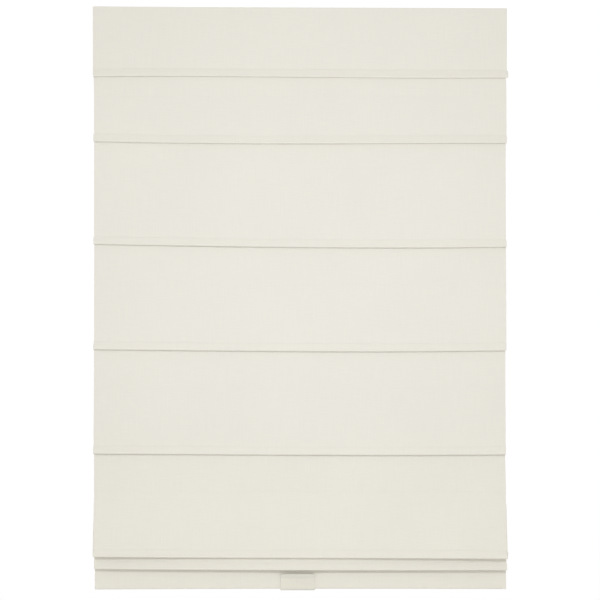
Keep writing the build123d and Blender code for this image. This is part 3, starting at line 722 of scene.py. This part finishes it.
def ripple(s, x, a, b, most, forward=False):
    """Soft unevenness of a free panel between lengths a and b, none at its ends."""
    t = (s - a) / (b - a)
    room = np.sin(math.pi * np.clip(t, 0, 1)) ** 2
    n = np.array([
        noise.noise(Vector((xi / 150.0, si / 110.0, 3.1))) + 0.5 * noise.noise(Vector((xi / 55.0, si / 70.0, 9.4)))
        for xi, si in zip(x, s)
    ])
    n = np.clip(n, -1, 1)
    return most * room * (-0.5 - 0.5 * n if forward else n)


def strip(name, a, b, ripples=(), step=5.0):
    """The part of the cloth from length a to length b, as one sheet."""
    inside = S[(S > a + 0.5) & (S < b - 0.5)]
    rows = [a, a + 0.3, *inside, b - 0.3, b]
    rows = np.array(rows)
    s = np.repeat(rows, len(COLUMNS))
    x = np.tile(COLUMNS, len(rows))
    x2, y, z = hang(s, x)
    for r in ripples:
        y += ripple(s, x, *r)
    obj = piece(name, np.c_[x2, y, z], grid_faces(len(rows), len(COLUMNS)), cloth, uv=np.c_[x, s])
    thick = obj.modifiers.new("thickness", "SOLIDIFY")
    thick.thickness = CLOTH * MM
    thick.offset = 0.0
    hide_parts("shade_fabric")
    return obj, s


def follow(obj):
    """The sheet's placement, baked into its mesh points; it is not attached to a body here."""
    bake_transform(obj)


top_panel, s = strip("cloth_panel_1", 0.0, STITCH[0], [(HEAD, STITCH[0], 0.5)])
follow(top_panel)

for k in range(7):
    n = k + 1
    tuck, s = strip(f"cloth_tuck_{n}", STITCH[k], TURN[k])
    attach(tuck, f"pleat_{n}")
    soft = [(TURN[k] + 18, RIB[k], 0.5)] if k < 5 else []
    fall, s = strip(f"cloth_fall_{n}", TURN[k], RIB[k], soft)
    follow(fall)
    if k < 6:
        soft = [(RIB[k], STITCH[k + 1], 0.5, k == 4)] if k < 5 else []
        panel, s = strip(f"cloth_panel_{n + 1}", RIB[k], STITCH[k + 1], soft)
        follow(panel)

bottom_panel, s = strip("cloth_bottom_panel", RIB[6], END, [(at("low"), at("edge", 0), 0.25)])
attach(bottom_panel, "fold_7")


# ---------------------------------------------------------------------------
# Stitching
# ---------------------------------------------------------------------------
def stitches(name, surface, body, x0=-396.0, x1=396.0, pitch=3.3, length=2.7, radius=0.16, out=(0, -1, 0)):
    """A row of lockstitches along x. surface(xs) gives the y and z of the cloth's surface."""
    starts = np.arange(x0, x1 - length, pitch)
    xs = (starts[:, None] + length * np.array([0, 0.28, 0.72, 1])[None, :]).ravel()
    lines = np.c_[xs, np.column_stack(surface(xs))].reshape(len(starts), 4, 3)
    lines = lines + np.outer(radius * np.array([-1.2, 0.45, 0.45, -1.2]), out)
    parts = [tube(line, radius * np.array([0.7, 1, 1, 0.7]), sides=5) for line in lines]
    verts, faces, uv = gathered(parts)
    obj = piece(name, verts, faces, thread, uv=uv)
    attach(obj, body)
    return obj


def skin(s_row, side=-1):
    """The cloth's front (-1) or back (1) along one of its rows."""
    def surface(xs):
        _, y, z = hang(np.full(len(xs), s_row), xs)
        return y + side * HALF, z

    return surface


for k in range(7):
    stitches(f"tuck_stitches_{k + 1}", skin(STITCH[k] + 0.4), f"pleat_{k + 1}")
drop = (S > at("low", 0) - 60) & (S < at("edge", 0))
hem_z = TOP - (BOTTOM - BOTTOM_HEM - 3.5)
stitches("hem_stitches_front", skin(float(np.interp(-hem_z, -PATH[drop, 1], S[drop]))), "fold_7")
stitches("hem_stitches_back", skin(END - 3.5, 1), "fold_7", out=(0, 1, 0))


# ---------------------------------------------------------------------------
# Rods in the tucks: slim fibre rods that bow with the cloth
# ---------------------------------------------------------------------------
for k in range(7):
    y, z = yz(*rod_centre(k))
    x = np.r_[-ROD_LENGTH / 2, -ROD_LENGTH / 2 + 0.4, np.linspace(-390, 390, 60), ROD_LENGTH / 2 - 0.4, ROD_LENGTH / 2]
    line = np.c_[x, y + BACK[k](x / 400.0), z + RISE[k](x / 400.0)]
    radii = np.full(len(x), ROD_R)
    radii[[0, -1]] = ROD_R - 0.4
    verts, faces, uv = tube(line, radii, sides=20, rounded=False)
    rod = piece(f"tuck_rod_{k + 1}", verts, faces, fibre, uv=uv)
    sharp(rod)
    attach(rod, f"pleat_{k + 1}")
    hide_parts(f"rod_{k + 1}")


# ---------------------------------------------------------------------------
# Pockets behind the cloth: a woven tape folded round each back rib and sewn at its neck
# ---------------------------------------------------------------------------
POCKET_R, POCKET_T = 2.45, 0.5
for k in range(7):
    cy, cz = yz(SLEEVE_Y, RIBS[k] + SLEEVE_DROP)
    neck_y, neck_z = Y_CLOTH + RIB_CLOTH_Y + HALF + 0.35, cz + 2.3
    loop = [(neck_y, neck_z + 0.28)]
    for t in np.linspace(100, -222, 24):
        loop.append((cy + POCKET_R * math.cos(math.radians(t)), cz + POCKET_R * math.sin(math.radians(t))))
    # back to the neck under the first layer
    last = loop[-1]
    for t in (0.35, 0.7):
        loop.append((last[0] + (neck_y - last[0]) * t, last[1] + (neck_z - 0.28 - last[1]) * t))
    loop.append((neck_y, neck_z - 0.28))
    loop = np.array(loop)
    run = np.r_[0, np.cumsum(np.linalg.norm(np.diff(loop, axis=0), axis=1))]
    xs = np.r_[-TAPE_LENGTH / 2, -TAPE_LENGTH / 2 + 0.3, np.linspace(-TAPE_LENGTH / 2 + 2, TAPE_LENGTH / 2 - 2, 157), TAPE_LENGTH / 2 - 0.3, TAPE_LENGTH / 2]
    verts, uvs = [], []
    for x in xs:
        pucker = 0.12 * math.sin(x / 3.1 + 2.0 * math.sin(x / 61.0 + k))
        near = np.clip(1 - np.abs(loop[:, 0] - neck_y) / 3.5, 0, 1)
        for (py, pz), length, share in zip(loop, run, near):
            verts.append((x, py, pz + pucker * share))
            uvs.append((x, length))
    pocket = piece(f"rib_pocket_{k + 1}", verts, grid_faces(len(xs), len(loop)), webbing, uv=uvs)
    thick = pocket.modifiers.new("thickness", "SOLIDIFY")
    thick.thickness, thick.offset = POCKET_T * MM, 0.0
    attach(pocket, f"fold_{k + 1}")
    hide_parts(f"rib_tape_{k + 1}")

    def over(xs, y=neck_y + 1.0, z=neck_z + 0.28 + POCKET_T / 2 + 0.05):
        return np.full(len(xs), y), np.full(len(xs), z)

    stitches(f"rib_stitches_{k + 1}", over, f"fold_{k + 1}", x0=-388, x1=388, out=(0, 0, 1))


# ---------------------------------------------------------------------------
# Lift cords: a fixed length each, from the spool to the anchor at the bottom bar
# ---------------------------------------------------------------------------
CORD_TOP, CORD_END = SHAFT_Z - 5.0, TOP - BOTTOM + 19.0
TRAVEL_UP, TRAVEL_DOWN = 746.4, 355.7
for side, name in ((-1, "left"), (1, "right")):
    x0, y0 = side * CORD_X, Y_CLOTH + CORD_Y
    z = np.r_[SHAFT_Z, np.linspace(CORD_TOP, CORD_END, 220)]
    verts, faces, uv = tube(np.c_[np.full(len(z), x0), np.full(len(z), y0), z], CORD_R - 0.03, sides=10)
    upper = piece(f"lift_cord_{name}_upper", verts, faces, cord, uv=uv)
    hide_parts(f"lift_cord_{name}")
    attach(upper, "root")
    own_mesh(upper)
    # the lower end, through the anchor's eye to its knot
    knot_z = CORD_END - 5.3
    z = np.linspace(CORD_END + TRAVEL_DOWN + 0.6, knot_z + 1.0, 90)
    parts = [tube(np.c_[np.full(len(z), x0), np.full(len(z), y0), z], CORD_R, sides=10)]
    t = np.linspace(0, 2 * math.pi, 49)
    k = 0.46
    knot = np.c_[
        x0 + k * (np.sin(t) + 2 * np.sin(2 * t)),
        y0 + k * (np.cos(t) - 2 * np.cos(2 * t)),
        knot_z - 1.4 * k * np.sin(3 * t),
    ]
    parts.append(tube(knot, CORD_R * 0.95, sides=10))
    tail = [(x0 + 0.3, y0 - 0.2, knot_z - 0.6), (x0 + 0.5, y0 - 0.1, knot_z - 2.0), (x0 + 0.9, y0 + 0.2, knot_z - 3.2), (x0 + 1.1, y0 + 0.6, knot_z - 4.2)]
    parts.append(tube(tail, CORD_R * np.array([1, 1, 1.05, 1.15]), sides=10))
    verts, faces, uv = gathered(parts)
    lower = piece(f"lift_cord_{name}_lower", verts, faces, cord, uv=uv)
    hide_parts(f"lift_cord_{name}")
    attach(lower, "fold_7")
    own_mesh(lower)

    # the turns on the spool, starting at its front, where the cord leaves it
    turns, middle = 7.0, SPOOL_R + CORD_R
    t = np.linspace(0, turns * 2 * math.pi, int(turns * 40))
    helix = np.c_[
        x0 + 2 * CORD_R * t / (2 * math.pi),
        SHAFT_Y - middle * np.cos(t),
        SHAFT_Z + middle * np.sin(t),
    ]
    verts, faces, uv = tube(helix, CORD_R - 0.01, sides=10)
    wound = piece(f"cord_turns_{name}", verts, faces, cord, uv=uv)
    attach(wound, "drive")
    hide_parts(f"cord_winding_{name}")


# ---------------------------------------------------------------------------
# The flat spiral spring inside the motor
# ---------------------------------------------------------------------------
m0 = MOTOR_X - MOTOR_LENGTH / 2
turns, r0, r1 = 13.0, 6.8, 11.4
t = np.linspace(0, turns * 2 * math.pi, 520)
r = r0 + (r1 - r0) * (t / t[-1]) ** 1.15
verts, uvs = [], []
for j, x in enumerate((m0 + 7.0, m0 + 7.6, m0 + 20.0, m0 + MOTOR_LENGTH - 4.6, m0 + MOTOR_LENGTH - 4.0)):
    for ti, ri in zip(t, r):
        verts.append((x, SHAFT_Y + ri * math.cos(ti), SHAFT_Z + ri * math.sin(ti)))
        uvs.append((ri * ti, x))
spiral = piece("motor_spring_strip", verts, grid_faces(5, len(t)), spring_steel, uv=uvs)
thick = spiral.modifiers.new("thickness", "SOLIDIFY")
thick.thickness, thick.offset = 0.00012, 0.0
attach(spiral, "root")
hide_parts("motor_spring")


# ---------------------------------------------------------------------------
# Hook and loop tapes between the rail and the cloth
# ---------------------------------------------------------------------------
def fastening(name, node_name, material, selvedge):
    """A flat woven tape with a raised pile between its two plain edges."""
    lo, hi = (np.array(v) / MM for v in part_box(node_name))
    y_back, y_front = hi[1], lo[1]
    zs = np.r_[lo[2], lo[2] + 0.4, lo[2] + selvedge, lo[2] + selvedge + 0.6, np.linspace(lo[2] + selvedge + 1.6, hi[2] - selvedge - 1.6, 15), hi[2] - selvedge - 0.6, hi[2] - selvedge, hi[2] - 0.4, hi[2]]
    xs = np.r_[lo[0], lo[0] + 0.4, np.linspace(lo[0] + 2, hi[0] - 2, 220), hi[0] - 0.4, hi[0]]
    toward = -1 if name == "hook_fastening" else 1
    base = y_back if toward < 0 else y_front
    far = y_front if toward < 0 else y_back
    verts, uvs = [], []
    for x in xs:
        for z in zs:
            edge = min(z - lo[2], hi[2] - z, x - lo[0] + selvedge, hi[0] - x + selvedge)
            raised = 0.45 + 0.5 * float(smooth((edge - selvedge) / 1.0)) + 0.05 * noise.noise(Vector((x * 1.7, z * 1.9, 4.0)))
            verts.append((x, base + (far - base) * min(raised, 1.0), z))
            uvs.append((x, z))
    n = len(verts)
    for x in xs:
        for z in zs:
            verts.append((x, base, z))
            uvs.append((x, z))
    rows, cols = len(xs), len(zs)
    faces = grid_faces(rows, cols)
    faces += [tuple(i + n for i in reversed(f)) for f in grid_faces(rows, cols)]
    rim = [i for i in range(cols)] + [i * cols + cols - 1 for i in range(1, rows)]
    rim += [(rows - 1) * cols + i for i in range(cols - 2, -1, -1)] + [i * cols for i in range(rows - 2, 0, -1)]
    for a, b in zip(rim, rim[1:] + rim[:1]):
        faces.append((b, a, a + n, b + n))
    if toward > 0:
        faces = [tuple(reversed(f)) for f in faces]
    obj = piece(name, verts, faces, material, uv=uvs)
    sharp(obj, 50.0)
    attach(obj, "root")
    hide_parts(node_name)
    return obj


fastening("hook_fastening", "hook_tape", hook_pile, 1.6)
fastening("loop_fastening", "loop_tape", loop_pile, 1.6)


# ---------------------------------------------------------------------------
# The handle: a milky clip over the hem, its top edge turned out as a finger ledge
# ---------------------------------------------------------------------------
hem_front, hem_back = Y_CLOTH - HALF, Y_CLOTH + HEM_POCKET + HALF
low = TOP - BOTTOM - HANDLE_DROP
outline = [
    (hem_front - 3.6, low + HANDLE_HEIGHT - 1.0),
    (hem_front - 0.2 - HANDLE_WALL / 2, low + HANDLE_HEIGHT - 9.0),
    (hem_front - 0.2 - HANDLE_WALL / 2, low + HANDLE_WALL / 2 - 0.2),
    (hem_back + 0.2 + HANDLE_WALL / 2, low + HANDLE_WALL / 2 - 0.2),
    (hem_back + 0.2 + HANDLE_WALL / 2, low + 22.0),
]
hs, hp, _ = sampled(bent(outline, [5.0, 3.4, 3.4]), step=1.6, angle=9.0)
hx = np.r_[np.linspace(-1, -0.9, 4), np.linspace(-0.86, 0.86, 34), np.linspace(0.9, 1, 4)]
verts, uvs = [], []
for s_at, (y, z) in zip(hs, hp):
    # the corners are cut at the ledge and rounded at the back's end
    ledge = max(0.0, 2.2 - s_at)
    tail = max(0.0, 3.0 - (hs[-1] - s_at))
    half = HANDLE_WIDTH / 2 - ledge * 0.9 - (3.0 - math.sqrt(max(0.0, 9.0 - tail * tail)))
    for u in hx:
        verts.append((HANDLE_X + u * half, y, z))
        uvs.append((u * half, s_at))
grip = piece("handle_clip", verts, grid_faces(len(hs), len(hx)), handle_plastic, uv=uvs)
thick = grip.modifiers.new("thickness", "SOLIDIFY")
thick.thickness, thick.offset, thick.use_even_offset = (HANDLE_WALL - 0.02) * MM, 0.0, True
soft = grip.modifiers.new("edges", "BEVEL")
soft.width, soft.segments, soft.limit_method, soft.angle_limit = 0.00045, 3, "ANGLE", math.radians(50)
soft.harden_normals = False
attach(grip, "fold_7")
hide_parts("handle")


# ---------------------------------------------------------------------------
# Finishes of the parts that are shown as built
# ---------------------------------------------------------------------------
FINISH = {
    "headrail": rail_paint, "end_cap_left": white_plastic, "end_cap_right": white_plastic,
    "wall_bracket_left": zinc, "wall_bracket_right": zinc, "drive_shaft": shaft_steel,
    "spool_left": white_plastic, "spool_right": white_plastic,
    "cradle_left": white_plastic, "cradle_right": white_plastic,
    "spring_motor_housing": white_plastic, "spring_motor_cover": white_plastic, "motor_arbor": white_plastic,
    "bottom_bar": bar_steel, "bottom_bar_cap_left": white_plastic, "bottom_bar_cap_right": white_plastic,
    "cord_anchor_left": white_plastic, "cord_anchor_right": white_plastic,
}
for k in range(1, 8):
    FINISH[f"rib_{k}"] = fibre
    FINISH[f"ring_{k}"] = ring_plastic
for name, finish in FINISH.items():
    slots = NODES[name].data.materials
    slots.clear()
    slots.append(finish)
